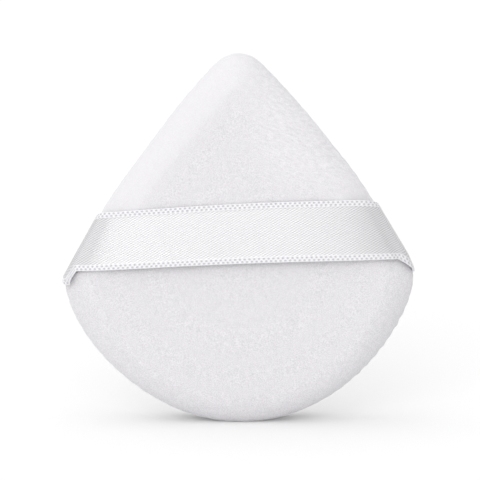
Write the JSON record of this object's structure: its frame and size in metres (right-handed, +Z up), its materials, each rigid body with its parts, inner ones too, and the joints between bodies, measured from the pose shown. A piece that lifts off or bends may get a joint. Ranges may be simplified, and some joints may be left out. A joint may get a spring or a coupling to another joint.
{
  "type": "powder puff",
  "caption": "Teardrop velour powder puff with a foam core and a satin ribbon finger strap caught in its side seam, for pressing loose powder onto the face.",
  "frame": {"origin": "on the surface that the puff stands on, under the middle of the box round the puff and its strap", "axes": "+Z up from the round edge to the tip, -Y the way the strap faces, +X to the right seen from the strap side"},
  "size_m": [0.0669, 0.0146, 0.07],
  "materials": {
    "velour": "short sheared pile, matt",
    "foam": "open-cell foam, matt",
    "thread": "spun polyester, satin",
    "satin": "satin weave ribbon, soft gloss"
  },
  "bodies": {
    "puff": {"strap_side_panel": "velour", "powder_side_panel": "velour", "foam_core": "foam", "seam_needle_thread": "thread", "seam_bobbin_thread": "thread", "closing_thread": "thread", "strap_left_tail": "satin", "strap_right_tail": "satin"},
    "strap": {"strap_ribbon": "satin"}
  },
  "joints": [
    {"name": "strap_lift", "type": "slide", "parent": "puff", "child": "strap", "axis": [0, -1, 0], "range_m": [0, 0.008], "stiffness_N_per_m": 10}
  ]
}
